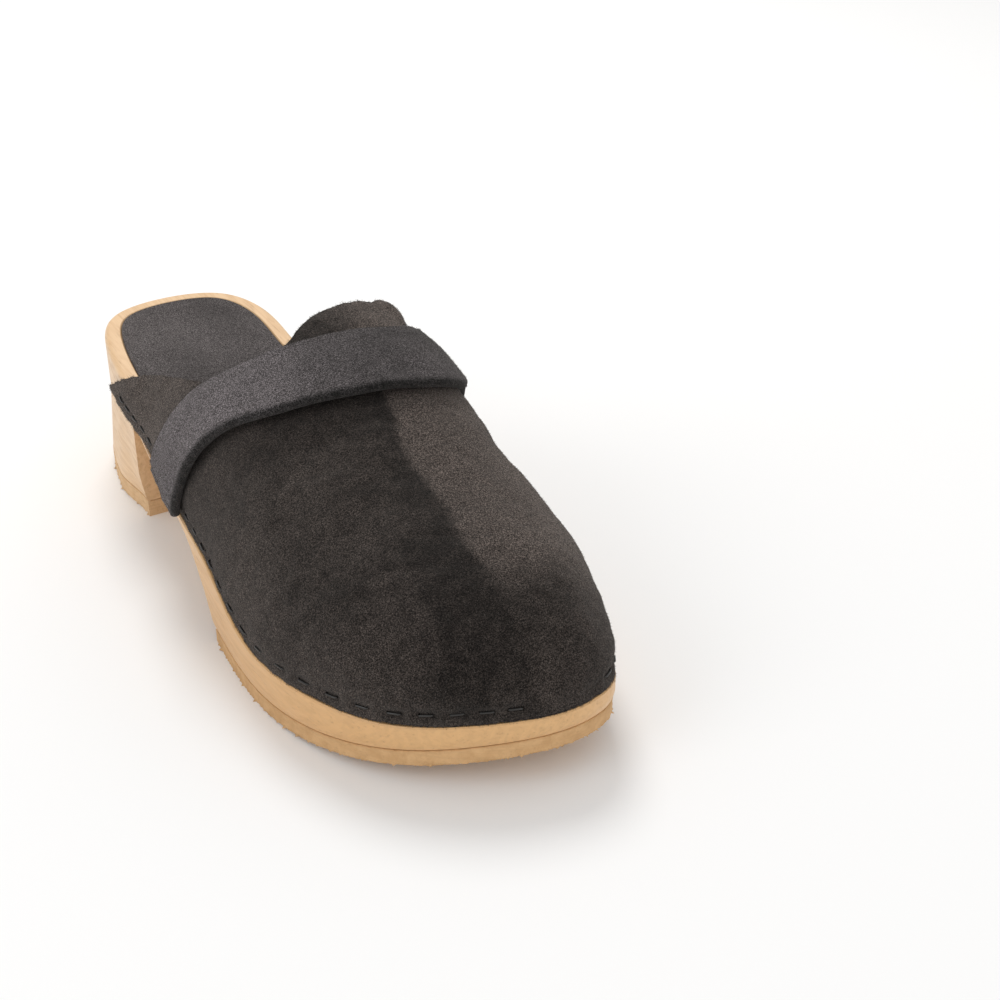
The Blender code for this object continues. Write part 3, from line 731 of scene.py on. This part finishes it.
def build_rubber(rubber):
    """The treads under the forefoot, which follows the toe's spring, and under the heel."""
    mesh = ragged("tread_forefoot", OUTSOLE_BACK, LENGTH, RUBBER, ground, 21)
    piece = add_piece("tread_forefoot", mesh, [rubber])
    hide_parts("outsole_forefoot")
    mesh = ragged("tread_heel", 0, HEEL_FACE, HEEL_TIP, np.zeros_like, 31)
    piece = add_piece("tread_heel", mesh, [rubber])
    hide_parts("heel_tip")


def build_sock(look):
    """The suede sock, its edge slightly rounded and its face a little uneven."""
    inset = smooth(RABBET, Outline.curve[:, 1]) + SOCK_MARGIN
    rounded = 0.0007

    def sock_ring(away, shrink, extra, uneven=0.0):
        def height(at, shrink):
            wave = ripple(np.column_stack([at, at * 0 + shrink, at * 0]) * (1, 0.03, 1), 0.03, 41)
            return wood_top(at, shrink) + (GAP + extra) + uneven * wave
        return ring(Outline(inset + away), 0, LENGTH, shrink, height)

    rings = [sock_ring(0, shrink, 0) for shrink in (0.85, 0.5, 0.2, 0)]
    for angle in np.linspace(0, math.pi / 2, 6):
        up = SOCK - rounded + rounded * math.sin(angle)
        rings.append(sock_ring(rounded * (1 - math.cos(angle)), 0, up))
    rings += [
        sock_ring(rounded, shrink, SOCK, 0.00015 * min(1, shrink * 12))
        for shrink in (0.03, 0.08, 0.14, 0.2, 0.28, 0.36, 0.44, 0.52, 0.6, 0.68, 0.76, 0.84, 0.9)
    ]
    mesh = lofted("sock_suede", rings)
    set_nap_and_painted_light(mesh, lambda points: 0.5 + 0.2 * ripple(points * (1, 0.5, 1), 0.03, 42))
    piece = add_piece("sock_suede", mesh, [look])
    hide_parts("insole_sock")


def set_nap_and_painted_light(mesh, rule):
    """Stores on a mesh how far its nap is brushed the light way, from 0 to 1, together with any painted
    light and shade that the rule adds.
    """
    points = np.empty(len(mesh.vertices) * 3)
    mesh.vertices.foreach_get("co", points)
    values = np.clip(rule(points.reshape(-1, 3)), 0, 1).astype(np.float32)
    mesh.attributes.new("nap", "FLOAT", "POINT").data.foreach_set("value", values)


def upper_grid(columns, back_rows, toe_rows):
    """(s, across) for a fine grid over the upper."""
    turn = np.linspace(-1, 1, columns)
    top = smooth(TOPLINE, turn) / 1000
    across = np.sin(math.pi / 2 * turn)
    share = np.linspace(0, 1, back_rows)
    share = share + 0.25 * np.sin(math.pi * share) * (share - 1)
    s = [top + (TOE_START - top) * t for t in share]
    turns = [across] * back_rows
    for forward in np.linspace(0, 1, toe_rows)[1:]:
        at, over = toe_grid(turn, forward)
        s.append(at)
        turns.append(over)
    return np.array(s), np.array(turns)


def vamp_nap_and_painted_light(points):
    """The vamp's nap lies the light way on its inner side, along a soft wandering line. Painted light also
    makes the flap, the outer side, the far inner side and the front of the toe lighter, where light falls
    on them.
    """
    s, x = MIDDLE - points[:, 1], points[:, 0]
    edge = smooth(NAP_LINE, s) + 0.0012 * ripple(points * (1, 0.5, 1), 0.022, 51)
    edge = edge + 0.0005 * ripple(points, 0.003, 52)
    light = np.clip((x - edge) / np.interp(s, (0.120, 0.135), (0.035, 0.0035)) + 0.5, 0, 1)
    light *= np.clip((0.236 - s) / 0.022, 0.2, 1)
    # Painted light: lighter at the toe's front, on the outer side, on the flap and on the far inner side.
    toe = np.clip((s - 0.222) / 0.02, 0, 1) * 0.07
    outer = np.clip((-0.012 - x) / 0.03, 0, 1) * 0.22
    flap = np.clip((0.115 - s) / 0.02, 0, 1) * 0.45
    side = np.clip((x - 0.022) / 0.02, 0, 1) * 0.16
    brushed = 0.10 + 0.58 * light * light * (3 - 2 * light)
    return brushed + outer + flap + side + toe + 0.05 * ripple(points, 0.045, 53)


def build_upper(looks, staples):
    """The suede upper: a sheet with soft unevenness, raw edges and hollows where it is stapled."""
    s, across = upper_grid(231, 96, 92)
    face = upper_surface(s, across)
    normal = raised(s, across, np.ones_like(s)) - face
    uneven = 0.00035 * ripple(face, 0.030, 61) + 0.00012 * ripple(face, 0.008, 62)
    uneven = uneven + 0.00005 * ripple(face, 0.002, 63)
    outer = press(face + normal * uneven[..., None], normal, staples, 0.0008, 0.0016)
    inner = face - normal * LEATHER
    for grid in (outer, inner):
        fray_out(grid[0], grid[1], 1.5)
        fray_out(grid[-1], grid[-2], 1.0)
        for edge, inside in ((0, 1), (-1, -2)):
            fray_out(grid[1:-1, edge], grid[1:-1, inside], 1.0)
    mesh = shell("upper_suede", outer, inner, TORN_EDGE)
    set_nap_and_painted_light(mesh, vamp_nap_and_painted_light)
    piece = add_piece("upper_suede", mesh, looks)
    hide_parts("upper_vamp")
    return outer, normal


def fray_out(line, inside, amount):
    """Moves a cut edge in and out a little, as raw suede does."""
    way = line - inside
    way = way / np.maximum(np.linalg.norm(way, axis=-1), 1e-9)[..., None]
    shift = 0.00022 * ripple(line, 0.006, 71) + 0.00014 * ripple(line, 0.0016, 72)
    line += way * (amount * shift)[..., None]


def strap_points(share, level, columns):
    """Points of the strap along its length, at a share of its width and a level in its thickness."""
    turn = np.linspace(-STRAP_END, STRAP_END, columns)
    across = np.sin(math.pi / 2 * turn)
    back = smooth(STRAP_BACK, turn) / 1000
    reach = upper_surface(back + 0.020, across) - upper_surface(back, across)
    stretch = 0.020 / np.linalg.norm(reach, axis=-1)
    lift = smooth(STRAP_LIFT, turn) / 1000
    thick = STRAP_AT_BACK + (STRAP_AT_FRONT - STRAP_AT_BACK) * share
    off = GAP + lift * (0.6 + 0.6 * share) + thick * level
    return raised(back + STRAP_WIDTH * stretch * share, across, off)


def build_strap(looks, staples):
    """The strap, folded over along its front edge and cut raw along its back one."""
    columns = 281
    fold = np.linspace(math.pi / 2, -math.pi / 2, FOLD_ROWS)
    # Once round the strap's section: (share of its width, level in its thickness).
    section = [(share, 1.0) for share in np.linspace(0.004, 0.93, FACE_ROWS)]
    section += [(0.94 + 0.06 * math.cos(a), 0.5 + 0.5 * math.sin(a)) for a in fold]
    section += [(share, 0.0) for share in np.linspace(0.93, 0.004, UNDER_ROWS)]
    section += [(0.0, 0.2), (-0.004, 0.5), (0.0, 0.8)]
    lines = np.array([strap_points(share, level, columns) for share, level in section])
    low, high = strap_points(0.5, 0, columns), strap_points(0.5, 1, columns)
    out = (high - low) / np.linalg.norm(high - low, axis=-1)[:, None]
    for (share, level), line in zip(section, lines):
        swell = 0.00035 * math.sin(math.pi * min(max(share, 0), 1)) * level
        wave = 0.00022 * ripple(line, 0.02, 81) * level + swell
        line += out * wave[:, None]
        if level > 0.9:
            line[:] = press(line, out, staples, 0.0005, 0.0015)
        if share < 0.01:
            shift = 0.0002 * ripple(line, 0.003, 82)
            line += (line - lines[FACE_MIDDLE]) / STRAP_WIDTH * shift[:, None]
    mesh = lofted("strap_suede", np.swapaxes(lines, 0, 1), 60)
    fold_line = strap_points(1.0, 0.5, columns)
    set_nap_and_painted_light(mesh, lambda points: strap_nap(points, fold_line))
    # Faces near the cut edge take the raw edge look, with its painted highlight.
    cut_line = strap_points(-0.004, 0.5, columns)
    for face in mesh.polygons:
        away = np.linalg.norm(cut_line - np.array(face.center), axis=1).min()
        face.material_index = int(away < RAW_BAND)
    piece = add_piece("strap_suede", mesh, looks)
    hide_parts("strap")
    return lines, out


def strap_nap(points, fold_line):
    """The strap's tone: painted light makes it lightest on the outer side, and painted shade makes it
    darkest round the fold of its front edge, which faces down; a faint ripple of nap runs over it.
    """
    # Painted light on the outer side, which faces the light.
    outer = np.clip((0.005 - points[:, 0]) / 0.045, 0, 1)
    nap = 0.38 + 0.62 * outer + 0.06 * ripple(points, 0.03, 83)
    # Painted shade round the fold of the front edge, which faces down into shadow.
    near = np.array([np.linalg.norm(fold_line - point, axis=1).min() for point in points])
    return nap * np.clip((near - 0.0014) / 0.0016, 0.1, 1)


def build_puff(look):
    """The stiffener inside the toe keeps its shape and gets its board look."""
    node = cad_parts["toe_puff"]
    for slot in node.material_slots:
        slot.material = look


# ---- fuzz ----
def scatter(grid, normal, count, seed):
    """Random points on a grid of points, with their normals, in proportion to area."""
    chance = np.random.default_rng(seed)
    a, b, c = grid[:-1, :-1], grid[1:, :-1], grid[:-1, 1:]
    area = np.linalg.norm(np.cross(b - a, c - a), axis=-1)
    cell = chance.choice(area.size, count, p=(area / area.sum()).ravel())
    row, column = np.unravel_index(cell, area.shape)
    u, v = chance.random((2, count, 1))
    where = a[row, column] + (b - a)[row, column] * u + (c - a)[row, column] * v
    return where, normal[:-1, :-1][row, column]


def nap_fibres(name, grid, normal, count, lean, looks, seed):
    """Short fibres over a grid of points, which stand out and lean one way."""
    chance = np.random.default_rng(seed)
    roots, out = scatter(grid, normal, count, seed + 1)
    ways = out * 0.55 + np.array(lean) + chance.normal(0, 0.45, (count, 3))
    lengths = chance.uniform(0.00030, 0.00080, count)
    fibres(name, roots - out * 0.00005, ways, lengths, NAP_FIBRE, looks, seed + 2)


def edge_fibres(name, lines, count, looks, seed, longest):
    """Longer fibres along raw edges: each line is (points, ways out)."""
    chance = np.random.default_rng(seed)
    roots, ways = [], []
    total = sum(np.linalg.norm(np.diff(line, axis=0), axis=1).sum() for line, _ in lines)
    for line, way in lines:
        step = np.linalg.norm(np.diff(line, axis=0), axis=1)
        travelled = np.concatenate([[0], np.cumsum(step)])
        at = chance.uniform(0, travelled[-1], int(count * travelled[-1] / total))
        roots.append(np.column_stack([np.interp(at, travelled, line[:, k]) for k in range(3)]))
        ways.append(np.column_stack([np.interp(at, travelled, way[:, k]) for k in range(3)]))
    roots, ways = np.concatenate(roots), np.concatenate(ways)
    ways = ways / np.linalg.norm(ways, axis=1)[:, None] + chance.normal(0, 0.5, ways.shape)
    lengths = chance.uniform(0.2, 1, len(roots)) ** 2 * longest
    roots = roots + chance.normal(0, 0.00015, roots.shape)
    fibres(name, roots, ways, lengths, FRAY_FIBRE, looks, seed + 1)


# ---- the stage ----
def build_stage():
    """A pale floor under a white sky."""
    mesh = bpy.data.meshes.new("floor")
    corners = [(-FLOOR, -FLOOR, 0), (FLOOR, -FLOOR, 0), (FLOOR, FLOOR, 0), (-FLOOR, FLOOR, 0)]
    mesh.from_pydata(corners, [], [(0, 1, 2, 3)])
    floor = bpy.data.objects.new("floor", mesh)
    bpy.context.scene.collection.objects.link(floor)
    mesh.materials.append(plain_look("paper", (0.93, 0.928, 0.925), 0.9, Specular_IOR_Level=0.1))
    world = bpy.data.worlds.new("studio")
    world.use_nodes = True
    sky = world.node_tree.nodes["Background"]
    sky.inputs["Color"].default_value = (1.0, 1.0, 1.0, 1)
    sky.inputs["Strength"].default_value = 0.64
    bpy.context.scene.world = world
    bpy.context.scene.view_settings.view_transform = "Standard"


def add_lamp(name, place, size, watts, colour):
    """A round soft lamp that points at the clog."""
    lamp = bpy.data.lights.new(name, "AREA")
    lamp.shape, lamp.size, lamp.energy, lamp.color = "DISK", size, watts, colour
    made = bpy.data.objects.new(name, lamp)
    made.location = place
    made.rotation_mode = "QUATERNION"
    made.rotation_quaternion = (Vector(AIM) - Vector(place)).to_track_quat("-Z", "Y")
    bpy.context.scene.collection.objects.link(made)


def build_camera():
    """The camera in front of the toe, to its outer side, looking down on the clog."""
    camera = bpy.data.cameras.new("camera")
    camera.lens, camera.sensor_width = 58.96, 36
    camera.clip_start, camera.clip_end = 0.02, 40
    made = bpy.data.objects.new("camera", camera)
    bpy.context.scene.collection.objects.link(made)
    azimuth, elevation, roll = math.radians(-30.674), math.radians(29.509), math.radians(-0.441)
    level = math.cos(elevation)
    back = Vector((math.sin(azimuth) * level, -math.cos(azimuth) * level, math.sin(elevation)))
    right = Vector((math.cos(azimuth), math.sin(azimuth), 0))
    up = back.cross(right)
    turned_right = right * math.cos(roll) + up * math.sin(roll)
    turned_up = up * math.cos(roll) - right * math.sin(roll)
    made.matrix_world = posed((-0.174898, -0.403543, 0.272779), (turned_right, turned_up, back))
    bpy.context.scene.camera = made


def main():
    """Builds the stage and then every piece."""
    build_camera()
    build_stage()
    add_lamp("main", (0.25, 0.75, 1.25), 0.6, 9.0, (1.0, 0.985, 0.965))
    add_lamp("left", (-1.2, -0.1, 0.8), 0.9, 3.6, (0.92, 0.96, 1.0))
    add_lamp("front", (0.1, -1.4, 0.9), 1.0, 2.9, (1.0, 0.985, 0.96))

    wood, rubber = wood_look(), rubber_look()
    # The light colours of the vamp and the band are reached by brushed nap and by painted light on their
    # lit sides; the band's cool tint is painted light from the left, and its dark colour is mostly its
    # painted shade round the fold.
    vamp = suede_look("vamp_suede", (0.0165, 0.0135, 0.0118), (0.120, 0.097, 0.085), 1)
    # The raw edge's pale colour is partly the cut suede and partly a painted highlight where the thin edge
    # catches the light.
    raw = suede_look("raw_suede_edge_highlight", (0.070, 0.060, 0.052), (0.235, 0.200, 0.170), 2)
    band = suede_look("band_suede", (0.0160, 0.0150, 0.0142), (0.138, 0.122, 0.125), 3)
    inner = suede_look("footbed_suede", (0.056, 0.049, 0.048), (0.108, 0.095, 0.094), 4)
    steel = plain_look("staple_wire", (0.060, 0.058, 0.056), 0.32, Metallic=1.0)
    hairs = [
        plain_look("fibre_dark", (0.028, 0.024, 0.021), 0.9),
        plain_look("fibre_mid", (0.060, 0.051, 0.045), 0.9),
        plain_look("fibre_pale", (0.13, 0.115, 0.105), 0.9),
    ]

    staples = staple_frames()
    build_wood(wood)
    build_rubber(rubber)
    build_sock(inner)
    upper, normal = build_upper([vamp, raw], staples)
    lines, out = build_strap([band, raw], staples)
    build_puff(board_look())
    build_staples(staples, steel)

    nap_fibres("upper_nap", upper, normal, UPPER_FIBRES, (0, -0.35, -0.35), hairs, 91)
    top = lines[:FACE_ROWS]
    out = np.broadcast_to(out, top.shape)
    nap_fibres("strap_nap", top, out, STRAP_FIBRES, (0, -0.3, -0.4), hairs[1:], 94)
    edges = [
        (upper[0], upper[0] - upper[1]), (upper[-1], upper[-1] - upper[-2]),
        (upper[:, 0], upper[:, 0] - upper[:, 1]), (upper[:, -1], upper[:, -1] - upper[:, -2]),
    ]
    edge_fibres("upper_fray", edges, UPPER_FRAY, hairs, 97, 0.0012)
    fold = lines[FOLD_FRONT]
    edges = [(lines[0], lines[0] - lines[3]), (fold, fold - lines[FACE_FRONT])]
    edge_fibres("strap_fray", edges, STRAP_FRAY, hairs, 99, 0.0007)


main()
